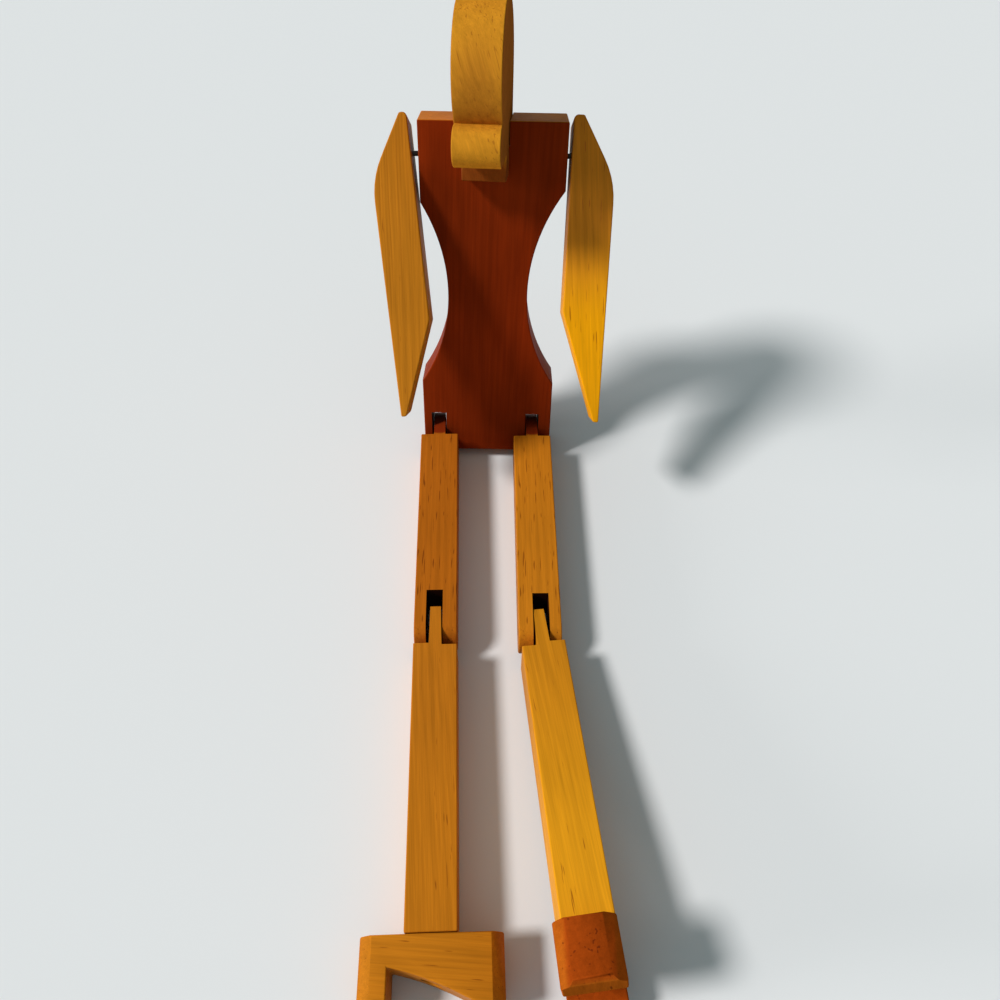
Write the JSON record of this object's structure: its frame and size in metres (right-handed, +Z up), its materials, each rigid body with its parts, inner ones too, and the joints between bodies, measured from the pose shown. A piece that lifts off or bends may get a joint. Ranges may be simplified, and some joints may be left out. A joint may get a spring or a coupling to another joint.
{
  "type": "wooden limberjack",
  "caption": "Jointed wooden dancing figure, seated: profile head lapped over a waisted torso, arms on nails, fork-and-tongue hips and knees, swivelling feet, stick socket in its back.",
  "frame": {"origin": "mouth of the stick socket, on the back face of the torso", "axes": "+Z up, the figure faces -Y with its legs out along -Y, its right side at -X, as it sits with its torso leaning back 18 degrees"},
  "size_m": [0.105, 0.3305, 0.2084],
  "materials": {
    "stained_board": "red-brown stain under varnish",
    "varnished_pine": "honey-coloured varnish, satin",
    "russet_pine": "red-brown varnish on end grain",
    "dark_steel": "dull dark wire"
  },
  "bodies": {
    "torso": {"torso": "stained_board", "head": "varnished_pine", "right_shoulder_nail": "dark_steel", "left_shoulder_nail": "dark_steel", "right_hip_pin": "dark_steel", "left_hip_pin": "dark_steel"},
    "right_arm": {"right_arm": "varnished_pine"},
    "left_arm": {"left_arm": "varnished_pine"},
    "right_thigh": {"right_thigh": "varnished_pine", "right_knee_pin": "dark_steel"},
    "left_thigh": {"left_thigh": "varnished_pine", "left_knee_pin": "dark_steel"},
    "right_shin": {"right_shin": "varnished_pine", "right_foot_screw": "dark_steel"},
    "left_shin": {"left_shin": "varnished_pine", "left_foot_screw": "dark_steel"},
    "right_foot": {"right_foot": "varnished_pine"},
    "left_foot": {"left_foot": "russet_pine"}
  },
  "joints": [
    {"name": "right_shoulder", "type": "hinge", "parent": "torso", "child": "right_arm", "pos_m": [-0.0337, 0.00577, 0.04859], "axis": [-1, 0, 0], "continuous": true},
    {"name": "left_shoulder", "type": "hinge", "parent": "torso", "child": "left_arm", "pos_m": [0.0352, 0.00577, 0.04859], "axis": [-1, 0, 0], "continuous": true},
    {"name": "right_hip", "type": "hinge", "parent": "torso", "child": "right_thigh", "pos_m": [-0.0253, -0.03882, -0.0837], "axis": [-1, 0, 0], "range_deg": [-96, 27]},
    {"name": "left_hip", "type": "hinge", "parent": "torso", "child": "left_thigh", "pos_m": [0.023, -0.03882, -0.0837], "axis": [-1, 0, 0], "range_deg": [-96, 27]},
    {"name": "right_knee", "type": "hinge", "parent": "right_thigh", "child": "right_shin", "pos_m": [-0.02033, -0.15731, -0.0837], "axis": [-0.9991, -0.0419, 0], "range_deg": [-88, 87]},
    {"name": "left_knee", "type": "hinge", "parent": "left_thigh", "child": "left_shin", "pos_m": [0.0259, -0.15738, -0.0837], "axis": [-0.9997, -0.0244, 0], "range_deg": [-95, 80]},
    {"name": "right_foot_swivel", "type": "hinge", "parent": "right_shin", "child": "right_foot", "pos_m": [-0.01435, -0.27956, -0.08285], "axis": [-0.0488, 0.9988, -0.007], "continuous": true},
    {"name": "left_foot_swivel", "type": "hinge", "parent": "left_shin", "child": "left_foot", "pos_m": [0.03996, -0.28, -0.06817], "axis": [-0.113, 0.9857, -0.1248], "continuous": true}
  ]
}
